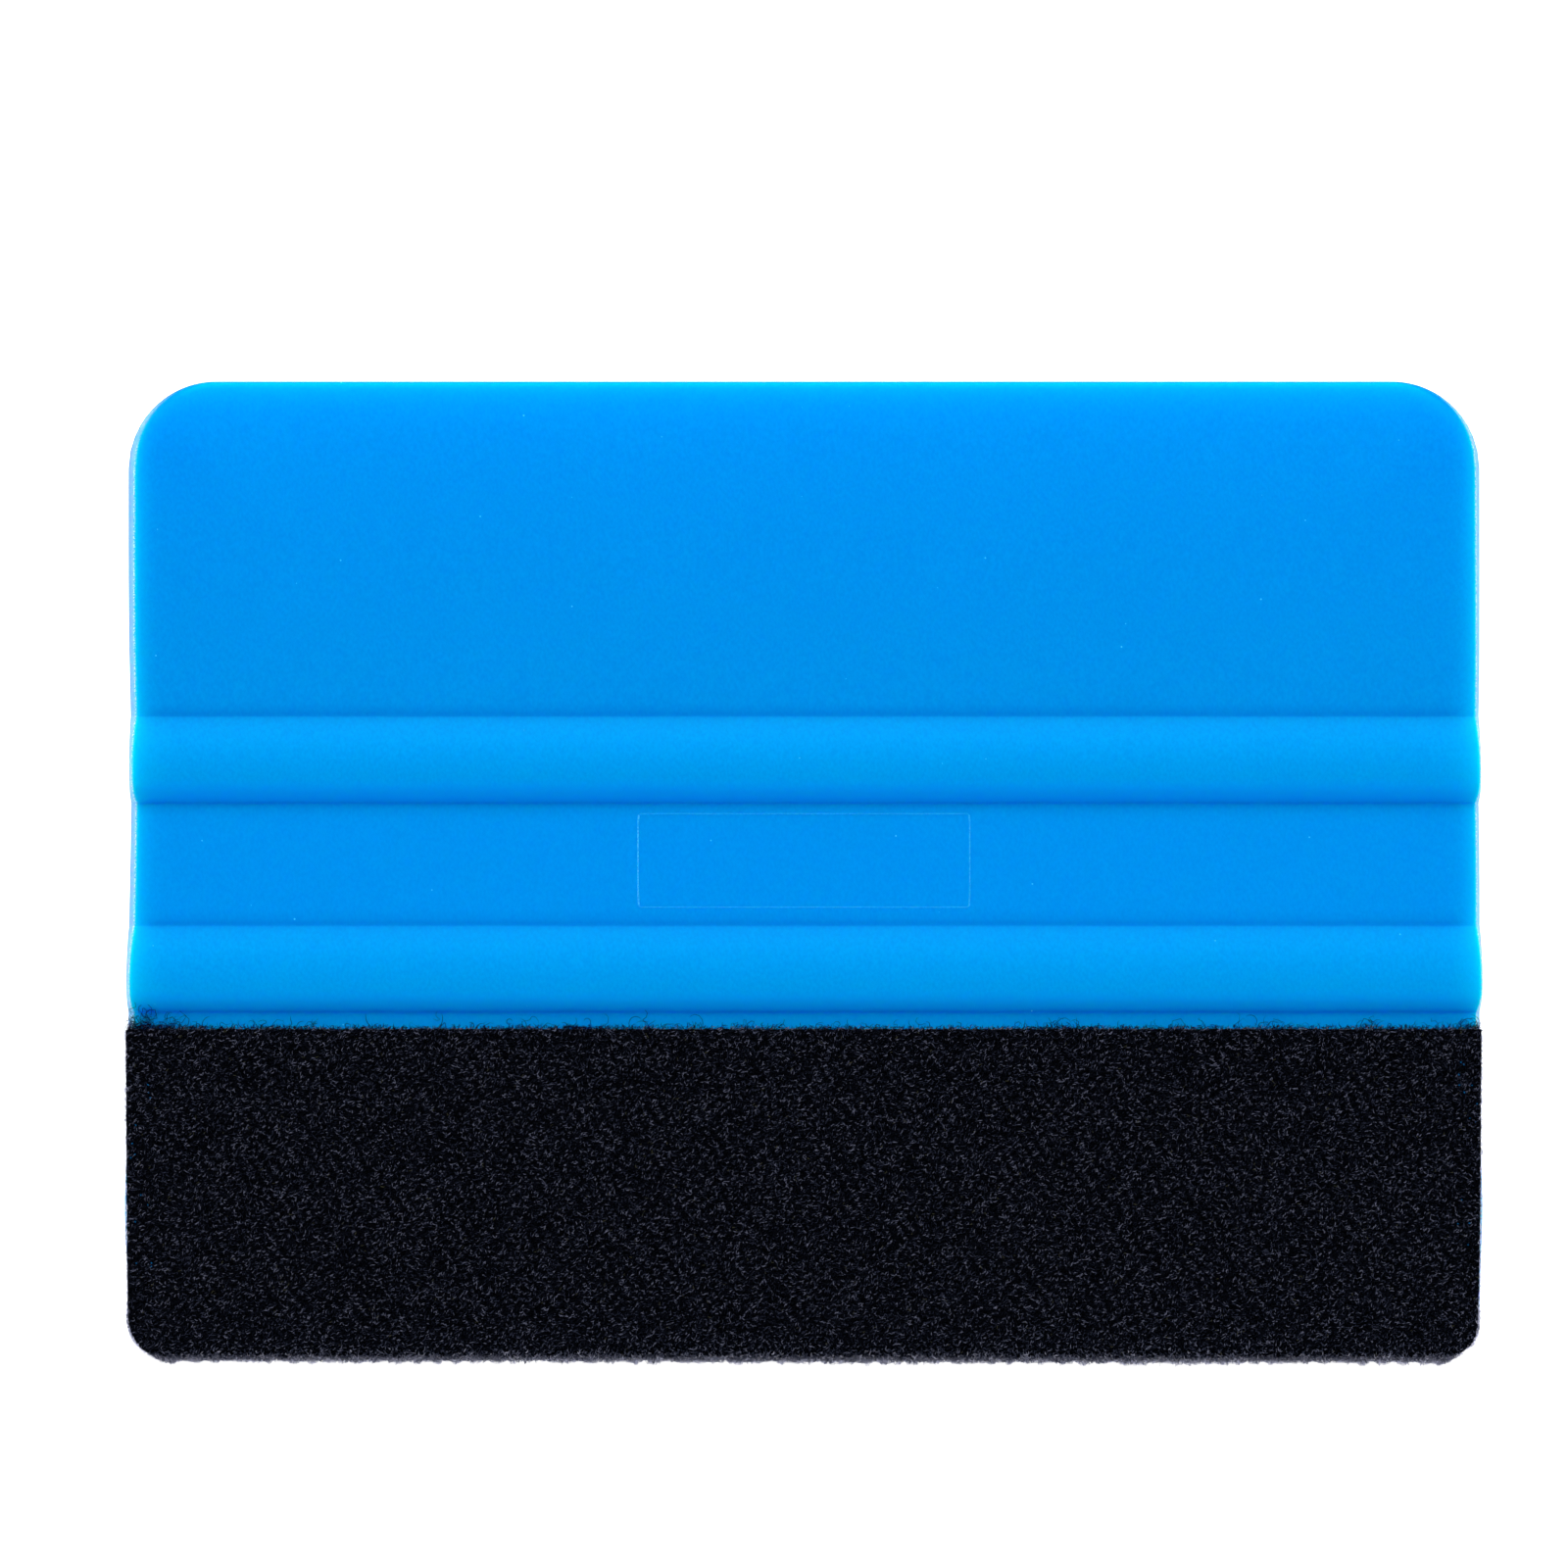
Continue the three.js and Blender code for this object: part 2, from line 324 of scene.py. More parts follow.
def blade_plastic():
    """Slightly translucent blue plastic with a fine mould grain. Light and shade are painted
    into its colour: a paler painted glow at its thin edges, a lighter painted blue on its ridges,
    painted shade that deepens the blue in its creases, on its shaded flanks and at its outermost
    edges, and a pale painted reflection with painted glints on the burrs of its slanted sides."""
    s = Surface("blade_plastic")
    grain = s.noise(0.2 * MM, 1.0, s.stretched((1.0, 0.7, 1.0), math.radians(35)))
    mottle = s.noise(9 * MM, 1.0)
    tone = s.math("ADD", s.math("MULTIPLY", grain, 0.9), s.math("MULTIPLY", mottle, 0.1))
    tone = s.span(tone, 0.3, 0.7)
    thin = s.mix(tone, colour(*BLUE_DEEP), colour(*BLUE_LIGHT))
    # the ridges are painted a lighter blue than the flats: painted light
    thick = s.mix(tone, colour(*RIDGE_PAINTED_LIGHT_DEEP), colour(*RIDGE_PAINTED_LIGHT_PALE))
    blue = s.mix(s.look("ridge_painted_light"), thin, thick)
    # a painted shade tint on the ridges' shaded flanks and the band
    blue = s.mix(s.look("painted_shade_tint"), blue, colour(*PAINTED_SHADE_TINT_BLUE))
    # a painted glow at the thin edges and the thumb end
    blue = s.mix(s.look("painted_edge_glow"), blue, colour(*PAINTED_GLOW_BLUE))
    # painted shade in the creases and along the ends' outermost line
    blue = s.mix(s.look("painted_crease_and_edge_shade"), blue, colour(*PAINTED_SHADE_DARK_BLUE))
    worn = s.span(s.noise(0.14 * MM, 1.0), 0.4, 0.6, 0.2, 1.0)
    blue = s.mix(s.math("MULTIPLY", s.look("witness"), worn), blue, colour(*PALE_LINE))
    # a streaky painted reflection on the slanted sides
    streak = s.span(s.noise(0.3 * MM, 2.0), 0.35, 0.65, 0.7, 1.0)
    blue = s.mix(s.math("MULTIPLY", s.look("painted_rim_reflection"), streak), blue, colour(*PAINTED_REFLECTION_BLUE))
    # painted shade at the outermost edge and along the outline
    blue = s.mix(s.look("outer"), blue, colour(*PAINTED_OUTER_SHADE_BLUE))
    # painted glints on the burrs along the slanted sides
    glint_noise = s.span(s.noise(0.11 * MM, 1.0), 0.47, 0.58)
    blue = s.mix(s.math("MULTIPLY", s.look("painted_glints"), glint_noise), blue, colour(*PAINTED_GLINT))
    s.feed(s.shader, {"Base Color": s.mix(dust_specks(s), blue, colour(*PALE_LINE))})
    s.feed(s.shader, {"Roughness": s.span(grain, 0.3, 0.7, 0.46, 0.54)})
    s.bump(grain, 0.012 * MM, 0.6)
    s.feed(
        s.shader,
        {
            "Subsurface Weight": 1.0,
            "Subsurface Radius": (0.1, 0.7, 1.25),
            "Subsurface Scale": s.span(s.look("thin_edge"), 0.0, 1.0, 1.8 * MM, 0.3 * MM),
            "Specular IOR Level": 0.01,
        },
    )
    return s.material


def dust_specks(s):
    """A few tiny specks, one to a cell, in some of the cells."""
    cells = s.add(
        "ShaderNodeTexVoronoi",
        {"Vector": s.place, "Scale": 1 / (3.4 * MM), "Randomness": 1.0},
        voronoi_dimensions="2D",
    )
    chance = s.add("ShaderNodeSeparateColor", {0: cells.outputs["Color"]}).outputs
    size = s.span(chance["Green"], 0.0, 1.0, 0.006, 0.02)
    near = s.math("LESS_THAN", cells.outputs["Distance"], size)
    return s.math("MULTIPLY", near, s.math("GREATER_THAN", chance["Red"], 0.9))


def glue_film():
    """Pale film with faint bubbles."""
    s = Surface("glue_film")
    pale = s.span(s.noise(0.4 * MM, 3.0), 0.3, 0.7)
    s.feed(
        s.shader,
        {
            "Base Color": s.mix(pale, colour(0.3, 0.32, 0.36), colour(0.62, 0.62, 0.6)),
            "Roughness": s.span(pale, 0.0, 1.0, 0.25, 0.45),
            "Specular IOR Level": 0.4,
        },
    )
    return s.material


def felt_base():
    """The felt's own cloth, almost black, with matted fibres in it."""
    s = Surface("felt_base")
    matted = s.noise(0.12 * MM, 3.0, s.stretched((0.35, 1.0, 1.0), math.radians(-28)))
    patch = s.noise(1.6 * MM, 2.0)
    tone = s.math("MULTIPLY", s.span(matted, 0.45, 0.7), s.span(patch, 0.3, 0.7, 0.5, 1.0))
    s.feed(
        s.shader,
        {
            "Base Color": s.mix(tone, colour(0.0005, 0.0007, 0.0013), colour(0.007, 0.0085, 0.015)),
            "Roughness": 0.95,
            "Specular IOR Level": 0.0,
        },
    )
    s.bump(matted, 0.08 * MM, 0.8)
    return s.material


def fibre(name, red, green, blue, shine=0.03):
    """One plain dyed fibre. The nap's variety comes from mixing several of them."""
    s = Surface(name)
    s.feed(
        s.shader,
        {
            "Base Color": colour(red, green, blue),
            "Roughness": 0.6,
            "Specular IOR Level": shine,
        },
    )
    return s.material


# ---------------------------------------------------------------- blade


def smooth_min(a, b, blend):
    near = np.maximum(blend - np.abs(a - b), 0) / blend
    return np.minimum(a, b) - near**2 * blend / 4


def ridge(along, centre):
    """A grip ridge's height: a slow rise from the thumb side, a quicker fall to the felt."""
    crest = centre - RIDGE_SKEW
    rise = np.clip((along - crest) / (RIDGE_HALF + RIDGE_SKEW), 0, 1)
    fall = np.clip((crest - along) / (RIDGE_HALF - RIDGE_SKEW), 0, 1)
    return RIDGE_PROUD * (1 - rise**RISE_POWER - fall**FALL_POWER)


def ridges(along):
    return ridge(along, THUMB_RIDGE) + ridge(along, FELT_RIDGE)


def half_thickness(along):
    ridge_foot, thumb_foot = FELT_RIDGE - RIDGE_HALF, THUMB_RIDGE + RIDGE_HALF
    flat = np.interp(
        along,
        [NOSE_CENTRE, ridge_foot, thumb_foot, LENGTH + EDGE_RADIUS],
        [EDGE_RADIUS, BAND_HALF, BAND_HALF, EDGE_RADIUS],
    )
    return flat + ridges(along)


def hump(value, centre, reach):
    return np.exp(-(((value - centre) / reach) ** 2))


def side_reach(along, side):
    """How far one side stands from the middle at the parting line, without corners."""
    reach = HALF_WIDTH + side.swell + side.ridge_swell * ridges(along) / RIDGE_PROUD
    reach += side.flash * hump(along, FLASH_CENTRE, FLASH_REACH)
    reach -= side.sink * hump(along, THUMB_RIDGE, side.sink_reach)
    return reach - side.band_sink * hump(along, FRAME_CENTRE, BAND_SINK_REACH)


def half_width(across, along):
    """The outline's half width on the left or right, corners included."""
    up = np.clip(along - (LENGTH - THUMB_CORNER), 0, THUMB_CORNER)
    down = np.clip(BLADE_START + WORKING_CORNER - along, 0, WORKING_CORNER)
    corner = THUMB_CORNER - np.sqrt(THUMB_CORNER**2 - up**2)
    corner += WORKING_CORNER - np.sqrt(WORKING_CORNER**2 - down**2)
    return np.where(across < 0, side_reach(along, LEFT), side_reach(along, RIGHT)) - corner


def from_outline(x, along):
    """The distance in from the outline, and how much that edge faces the card's ends."""
    to_side = np.where(x < 0, side_reach(along, LEFT), side_reach(along, RIGHT)) - np.abs(x)
    thumb = along > LENGTH / 2
    corner = np.where(thumb, THUMB_CORNER, WORKING_CORNER)
    to_end = np.where(thumb, LENGTH - along, along - BLADE_START)
    across, up = np.maximum(corner - to_side, 0), np.maximum(corner - to_end, 0)
    reach = np.hypot(across, up)
    in_corner = (across > 0) & (up > 0)
    distance = np.where(in_corner, corner - reach, np.minimum(to_side, to_end))
    facing_end = np.where(
        in_corner, (up / np.maximum(reach, 1e-9)) ** 2, (to_end < to_side) * 1.0
    )
    return np.maximum(distance, 0), facing_end


def bevel_rise(x, along):
    """How far up the moulded edge a point is: 0 at the parting line, 1 or more on the face."""
    distance, facing_end = from_outline(x, along)
    side_bevel = np.where(x < 0, LEFT.bevel, RIGHT.bevel)
    end_bevel = np.where(along > LENGTH / 2, BEVEL_THUMB, BEVEL_WORKING)
    t = distance / (side_bevel * (1 - facing_end) + end_bevel * facing_end)
    curve = 1 - (1 - np.minimum(t, 1)) ** 2
    return BEVEL_CRISPNESS * t + (1 - BEVEL_CRISPNESS) * curve


def edge_share(rise):
    return smooth_min(PARTING_SHARE + (1 - PARTING_SHARE) * rise, 1.0, BEVEL_BLEND)


def frame_distance(x, along):
    """The distance from the witness rectangle's line."""
    across = np.abs(x) - FRAME_HALF_WIDTH + FRAME_CORNER
    up = np.abs(along - FRAME_CENTRE) - FRAME_HALF_HEIGHT + FRAME_CORNER
    outside = np.hypot(np.maximum(across, 0), np.maximum(up, 0))
    return outside + np.minimum(np.maximum(across, up), 0) - FRAME_CORNER


def witness_line(x, along):
    return hump(frame_distance(x, along), 0, FRAME_LINE)


def smooth_step(value, low, high):
    t = np.clip((value - low) / (high - low), 0, 1)
    return t * t * (3 - 2 * t)


def blade_looks(x, along, rise):
    """What the plastic's looks follow: the painted glow at thin edges, the painted light on the
    ridges, the painted shade in creases, on shaded flanks and at the outermost edges, the frame
    line, and the painted reflection and glints on the rims.
    """
    distance, facing_end = from_outline(x, along)
    facing_side = 1 - facing_end
    thick = ridges(along) / RIDGE_PROUD
    bevel = np.where(x < 0, LEFT.bevel, RIGHT.bevel) * facing_side + BEVEL_THUMB * facing_end
    beyond = np.maximum(distance - bevel, 0) / (SIDE_PAINTED_GLOW_REACH * (1 + 0.6 * thick))
    # the painted glow: paler colour at the thin sides and the thumb end, in place of light through
    # the plastic
    painted_side_glow = SIDE_PAINTED_GLOW * np.exp(-beyond)
    painted_end_glow = END_PAINTED_GLOW * np.exp(-distance / END_PAINTED_GLOW_REACH)
    painted_end_glow += END_PAINTED_HAZE * np.exp(-distance / END_PAINTED_HAZE_REACH)
    painted_shade_reach = EDGE_PAINTED_SHADE_REACH * (1 + CORNER_PAINTED_SHADE * facing_side * facing_end)
    painted_end_glow *= smooth_step(distance, 0, painted_shade_reach)
    painted_glow = painted_side_glow * facing_side**3 + painted_end_glow * facing_end * (along > LENGTH / 2)
    # painted shade along the ridges' feet, where the ridges shut out light
    painted_crease_and_edge_shade = 0
    for centre in (THUMB_RIDGE, FELT_RIDGE):
        to_thumb = along - centre - RIDGE_HALF - CREASE_OFFSET
        to_felt = along - centre + RIDGE_HALF
        painted_crease_and_edge_shade += THUMB_CREASE_PAINTED_SHADE * np.exp(-np.abs(to_thumb) / CREASE_REACH)
        painted_crease_and_edge_shade += FELT_CREASE_PAINTED_SHADE * np.exp(-np.abs(to_felt) / CREASE_REACH)
    painted_crease_and_edge_shade *= smooth_step(distance, *CREASE_FADE)
    # and painted shade along the ends' outermost line, against the light falling on the bevel
    painted_crease_and_edge_shade += EDGE_PAINTED_SHADE * (1 - smooth_step(distance, 0, painted_shade_reach)) * facing_end**0.35
    # the painted shade tint: the ridges' far flanks, which face away from the light, then the band
    # and the strip by the felt
    painted_shade_tint = 0
    for centre in (THUMB_RIDGE, FELT_RIDGE):
        fall = (centre - RIDGE_SKEW - along) / (RIDGE_HALF - RIDGE_SKEW)
        painted_shade_tint += smooth_step(fall, 0.1, 0.9) * (1 - smooth_step(fall, 0.75, 1.1))
    painted_shade_tint += LOW_PAINTED_SHADE_TINT * (along < THUMB_RIDGE) * (1 - np.clip(2 * thick, 0, 1))
    painted_shade_tint += FELT_PAINTED_SHADE_TINT * (along < FELT_RIDGE) * (1 - np.clip(2 * thick, 0, 1))
    tall = np.abs(np.abs(x) - FRAME_HALF_WIDTH) < np.abs(
        np.abs(along - FRAME_CENTRE) - FRAME_HALF_HEIGHT
    )
    upright = np.where(x < 0, FRAME_LEFT_WEAR, FRAME_RIGHT_WEAR)
    witness = witness_line(x, along) * np.where(tall, upright, FRAME_LEVEL_WEAR)
    # the painted reflection on the slanted sides
    painted_rim_reflection = (1 - smooth_step(rise, 0.75, 1.0)) * smooth_step(facing_side, 0.15, 0.8)
    # the painted shade at the outermost slope of the sides, and along the outline itself
    outer = (1 - smooth_step(rise, 0.0, 0.45)) * smooth_step(facing_side, 0.0, 0.5)
    outer = np.maximum(outer, 0.5 * (1 - smooth_step(distance, 0.0, OUTER_PAINTED_SHADE_REACH)))
    # where the painted glints lie: high on the slanted sides
    painted_glints = hump(rise, GLINT_RISE, GLINT_SPREAD) * smooth_step(facing_side, 0.8, 1.0)
    return {
        "painted_edge_glow": np.clip(painted_glow, 0, 1),
        "ridge_painted_light": np.clip(thick * 1.6, 0, 1),
        "painted_crease_and_edge_shade": np.clip(painted_crease_and_edge_shade, 0, 1),
        "witness": witness,
        "painted_rim_reflection": painted_rim_reflection,
        "outer": outer,
        "thin_edge": 1 - smooth_step(distance, 0.0, THIN_REACH),
        "painted_shade_tint": painted_shade_tint,
        "painted_glints": painted_glints,
    }


def graded(first, ratio, reach):
    """Distances from an edge, with steps that grow."""
    steps = [0.0]
    step = first
    while steps[-1] + step < reach:
        steps.append(steps[-1] + step)
        step *= ratio
    return np.array(steps + [reach])


def around(places, half_span, count):
    """Extra lines close about each place."""
    return np.concatenate([p + np.linspace(-half_span, half_span, count) for p in places])


def grid_lines(lines, least):
    """Sorted, without lines closer than the least step; the first and last stay."""
    lines = np.sort(lines)
    kept = [lines[0]]
    for line in lines[1:-1]:
        if line - kept[-1] >= least and lines[-1] - line >= least:
            kept.append(line)
    return np.array(kept + [lines[-1]])


CORNER_ZONE = 9 * MM  # where the blade's grid is finer: by its edges, and by the line
NOSE_ZONE = 4 * MM
LINE_ZONE = 0.14 * MM


def blade_grid():
    edge = np.concatenate(
        [graded(0.02 * MM, 1.22, CORNER_ZONE), np.arange(0.3, 0.9, 0.045) * MM]
    )
    columns = np.concatenate(
        [
            HALF_WIDTH - edge,
            edge - HALF_WIDTH,
            np.linspace(-HALF_WIDTH + CORNER_ZONE, HALF_WIDTH - CORNER_ZONE, 55),
            around([-FRAME_HALF_WIDTH, FRAME_HALF_WIDTH], LINE_ZONE, 13),
            around([-FRAME_HALF_WIDTH + 0.2 * MM, FRAME_HALF_WIDTH - 0.2 * MM], 0.1 * MM, 5),
        ]
    )
    frame_edges = [FRAME_CENTRE - FRAME_HALF_HEIGHT, FRAME_CENTRE + FRAME_HALF_HEIGHT]
    feet = [c + side * RIDGE_HALF for c in (THUMB_RIDGE, FELT_RIDGE) for side in (-1, 1)]
    rows = np.concatenate(
        [
            LENGTH - graded(0.012 * MM, 1.25, CORNER_ZONE),
            BLADE_START + graded(0.02 * MM, 1.3, NOSE_ZONE),
            np.linspace(BLADE_START + NOSE_ZONE, LENGTH - CORNER_ZONE, 60),
            around([THUMB_RIDGE, FELT_RIDGE], RIDGE_HALF, 33),
            around(feet, 0.3 * MM, 9),
            around(frame_edges, LINE_ZONE, 13),
        ]
    )
    return grid_lines(columns, 0.018 * MM), grid_lines(rows, 0.011 * MM)


def make_blade():
    columns, rows = blade_grid()
    across, along = np.meshgrid(columns / HALF_WIDTH, rows)
    x = across * half_width(across, along)
    rise = bevel_rise(x, along)
    half = half_thickness(along) * edge_share(rise)
    y = along + FOLD_Y
    proud = FRAME_PROUD * witness_line(x, along)
    front = np.stack([x, y, MIDDLE_Z + half + proud], -1)
    back = np.stack([x, y, MIDDLE_Z - half], -1)
    points, triangles = close_shell(front, back)
    looks = {key: np.tile(v.ravel(), 2) for key, v in blade_looks(x, along, rise).items()}
    looks["witness"][along.size :] = 0
    piece = link_mesh("moulded_blade", points, triangles, [blade_plastic()], looks=looks)
    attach(piece, "root")
    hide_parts("blade")


# ---------------------------------------------------------------- felt


def flank_lean():
    run = FELT_RIDGE - RIDGE_HALF - NOSE_CENTRE
    return math.atan2(BAND_HALF, run) - math.asin(EDGE_RADIUS / math.hypot(run, BAND_HALF))


LEAN = flank_lean()
TURN = math.pi - 2 * LEAN  # the angle that the felt turns through at the fold


def flank_length(radius):
    return (FELT_REACH - NOSE_CENTRE + radius * math.sin(LEAN)) / math.cos(LEAN)


FLANK = flank_length(FELT_OUTER_RADIUS)
STRIP = 2 * FLANK + FELT_OUTER_RADIUS * TURN  # once round the felt's outer face


def folded(x, down, height):
    """A point of the strip: down its outer face from the front cut edge, and above it."""
    angle = np.clip((down - FLANK) / FELT_OUTER_RADIUS, 0, TURN) + math.pi / 2 + LEAN
    before = np.minimum(down - FLANK, 0)
    after = np.maximum(down - FLANK - FELT_OUTER_RADIUS * TURN, 0)
    radius = FELT_OUTER_RADIUS + height
    y = NOSE_CENTRE + radius * np.cos(angle) + (after - before) * math.cos(LEAN)
    z = radius * np.sin(angle) - (after + before) * math.sin(LEAN)
    outer = 1 + np.minimum(height, 0) / FELT_THICKNESS
    leftward = (1 - np.tanh(x / SLACK_WIDTH)) / 2
    tighter = SLACK * outer * leftward * np.exp(-np.abs(y) / SLACK_REACH)
    return np.stack([x + 0 * y, y + tighter + FOLD_Y, z + MIDDLE_Z], -1)


def felt_sides(along):
    """The felt's left and right limits: a round corner, and one trimmed at a slant."""
    left_up = np.clip(FELT_CORNER - along, 0, FELT_CORNER)
    left = FELT_CORNER - np.sqrt(FELT_CORNER**2 - left_up**2)
    t = np.linspace(0, 1, 60)
    trim_in = 3 * (1 - t) ** 2 * t * TRIM_ALONG / 2 + (1 - t) ** 3 * TRIM_ALONG
    trim_up = 3 * (1 - t) ** 2 * t * TRIM_UP / 5 + 3 * (1 - t) * t**2 * TRIM_UP / 2 + t**3 * TRIM_UP
    right = np.interp(along, trim_up, trim_in)
    near_fold = np.clip(1 - along / SHY_REACH, 0, 1) ** 2
    left = left + LEFT_FOLD_SHY * near_fold
    right = right + SIDE_SHY + RIGHT_FOLD_SHY * near_fold
    return left - FELT_HALF_WIDTH, FELT_HALF_WIDTH - right


def fringe_drop(down):
    """How much lower the dark nap lies about the fold's brow, where the fringe takes over."""
    return FRINGE_DEPTH * hump(down, STRIP / 2, FRINGE_SPREAD)


def waves(x, y, size, count, rng):
    """Smooth noise of about unit height, as a sum of plane waves."""
    total = np.zeros(np.broadcast(x, y).shape)
    for _ in range(count):
        angle, phase = rng.uniform(0, 2 * math.pi, 2)
        rate = 2 * math.pi / (size * rng.uniform(0.6, 1.6))
        total += np.sin(rate * (x * math.cos(angle) + y * math.sin(angle)) + phase)
    return total / math.sqrt(count / 2)


def felt_grid(down, shares, height, rough):
    """Points of the strip at one depth, its lumps added."""
    along = folded(0.0, down, 0.0)[..., 1] - FOLD_Y
    left, right = felt_sides(np.maximum(along, 0))
    x = left + (right - left) * shares
    rng = np.random.default_rng(SEED)
    lumps = waves(x, down, WIDE_LUMP, 14, rng) * 0.03 + waves(x, down, SMALL_LUMP, 14, rng) * 0.025
    ragged = RAGGED * (1 + 0.5 * waves(x, 0 * x, RAGGED_SIZE, 20, rng)).clip(0, 2)
    down = ragged + down * (1 - 2 * ragged / STRIP)
    return folded(x, down, height + lumps * rough * MM - fringe_drop(down) * rough)


EDGE_ZONE = 2.2 * MM  # where the cloth's grid is finer: by its sides, and about the fold
TURN_ZONE = 2.6 * MM


def make_felt():
    width = 2 * FELT_HALF_WIDTH
    edge = graded(0.1 * MM, 1.35, EDGE_ZONE)
    shares = np.concatenate([edge, np.linspace(EDGE_ZONE, width - EDGE_ZONE, 232), width - edge])
    shares = np.unique(np.round(shares, 7)) / width
    turn_start, turn_end = FLANK - TURN_ZONE, STRIP - FLANK + TURN_ZONE
    down = np.concatenate(
        [
            np.linspace(0, turn_start, 56)[:-1],
            np.linspace(turn_start, turn_end, 52),
            np.linspace(turn_end, STRIP, 56)[1:],
        ]
    )
    shares, down = np.meshgrid(shares, down)
    outer = felt_grid(down, shares, -NAP_DEPTH, 1.0)
    inner = felt_grid(down, shares, -FELT_THICKNESS, 0.0)
    points, triangles = close_shell(inner, outer)
    piece = link_mesh("felt_cloth", points, triangles, [felt_base()])
    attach(piece, "root")
    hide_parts("felt_strip")
    return piece


RING = 3  # sides of a fibre
MOST_TRIANGLES = 180_000  # in one piece of nap


def fibre_triangles(count):
    """The triangles of one fibre of so many points: rings, with a tip at each end."""
    rings = count - 2
    last = rings * RING
    found = []
    for j in range(RING):
        k = (j + 1) % RING
        found.append((last, k, j))
        found.append(((rings - 1) * RING + j, (rings - 1) * RING + k, last + 1))
        for r in range(rings - 1):
            a, b = r * RING + j, r * RING + k
            found += [(a, b, b + RING), (a, b + RING, a + RING)]
    return np.array(found)


def fibre_points(centre, radius):
    """Rings about each fibre's path, thinner towards its tips."""
    way = np.gradient(centre, axis=1)
    way /= np.maximum(np.linalg.norm(way, axis=2, keepdims=True), 1e-12)
    up = np.zeros_like(way)
    up[..., 2] = 1
    up[np.abs(way[..., 2]) > 0.95] = (0, 1, 0)
    side = np.cross(up, way)
    side /= np.linalg.norm(side, axis=2, keepdims=True)
    up = np.cross(way, side)
    t = np.linspace(0, 1, centre.shape[1])
    taper = np.sin(math.pi * np.clip(t, 0.12, 0.88)) ** 0.6
    rings = []
    for j in range(RING):
        a = 2 * math.pi * j / RING + math.pi / 2
        rings.append(
            centre + (side * math.cos(a) + up * math.sin(a)) * (radius[:, None] * taper)[..., None]
        )
    rings = np.stack(rings, 2)[:, 1:-1].reshape(len(centre), -1, 3)
    return np.concatenate([rings, centre[:, :1], centre[:, -1:]], 1)


def curl_paths(rng, x, down, heading, length, bend, wave, low, high, count=5):
    """Fibre paths in the strip's own plane, mapped round the fold with their rise."""
    n = len(x)
    t = np.linspace(0, 1, count)[None, :]
    swing = bend[:, None] * (t - 0.5)
    swing = swing + wave[:, None] * np.sin(
        2 * math.pi * (t * rng.uniform(0.6, 1.5, (n, 1)) + rng.random((n, 1)))
    )
    angle = heading[:, None] + swing
    step = length[:, None] / (count - 1)
    px = x[:, None] + np.cumsum(np.cos(angle) * step, 1) - length[:, None] / 2 * np.cos(angle)
    pd = down[:, None] - np.cumsum(np.sin(angle) * step, 1) + length[:, None] / 2 * np.sin(angle)
    arch = np.sin(math.pi * np.clip(t + rng.uniform(-0.3, 0.3, (n, 1)), 0, 1))
    lift = low[:, None] + (high - low)[:, None] * arch
    return folded(px, pd, lift)


def clear_of_floor(path, radius):
    path[..., 2] = np.maximum(path[..., 2], radius[:, None] + 0.01 * MM)
    return path


def fibre_pieces(name, paths, radius, dye, materials):
    """Pieces of many fibres each, every fibre in one of the dyes."""
    one = fibre_triangles(paths.shape[1])
    points = fibre_points(clear_of_floor(paths, radius), radius)
    count = math.ceil(len(paths) * len(one) / MOST_TRIANGLES)
    pieces = []
    for i, part in enumerate(np.array_split(np.arange(len(paths)), count)):
        base = np.arange(len(part)) * points.shape[1]
        triangles = (one[None] + base[:, None, None]).reshape(-1, 3)
        which = np.repeat(dye[part], len(one))
        label = f"{name}_{i + 1}" if count > 1 else name
        piece = link_mesh(label, points[part].reshape(-1, 3), triangles, materials, which)
        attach(piece, "root")
        pieces.append(piece)
    return pieces


def dyed(rng, shares, count, tint=0.0):
    """Which dye each fibre has, in the given shares. A higher tint makes paler likelier."""
    order = np.argsort(np.argsort(rng.normal(0, 1, count) + tint))
    return np.searchsorted(np.cumsum(shares), (order + 0.5) / count).clip(0, len(shares) - 1)


def sides_at(down):
    """The strip's left and right limits at a distance down its outer face."""
    along = folded(0.0, down, 0.0)[:, 1] - FOLD_Y
    return felt_sides(np.maximum(along, 0))


# The nap: ranges in millimetres, and the sizes of its clumps and of its changes of lean
NAP_LENGTH = (0.14, 0.4)
NAP_RADIUS = (0.014, 0.026)
NAP_LOW = (-0.2, -0.08)
NAP_LEAN = math.radians(33)
NAP_MARGIN = 0.08 * MM
CLUMP_SIZE = 0.7 * MM
DRIFT_SIZE = 2.4 * MM
DRIFT = 0.35


def scatter(rng, down_low, down_high, spacing):
    """Even but unordered roots over a stretch of the strip, clear of its cut sides."""
    x, down = np.meshgrid(
        np.arange(-FELT_HALF_WIDTH, FELT_HALF_WIDTH, spacing),
        np.arange(down_low, down_high, spacing),
    )
    x = x.ravel() + rng.uniform(-0.5, 0.5, x.size) * spacing
    down = down.ravel() + rng.uniform(-0.5, 0.5, down.size) * spacing
    left, right = sides_at(down)
    kept = (x > left + NAP_MARGIN) & (x < right - NAP_MARGIN)
    kept &= (down > 0) & (down < STRIP)
    order = rng.permutation(int(kept.sum()))
    return x[kept][order], down[kept][order]


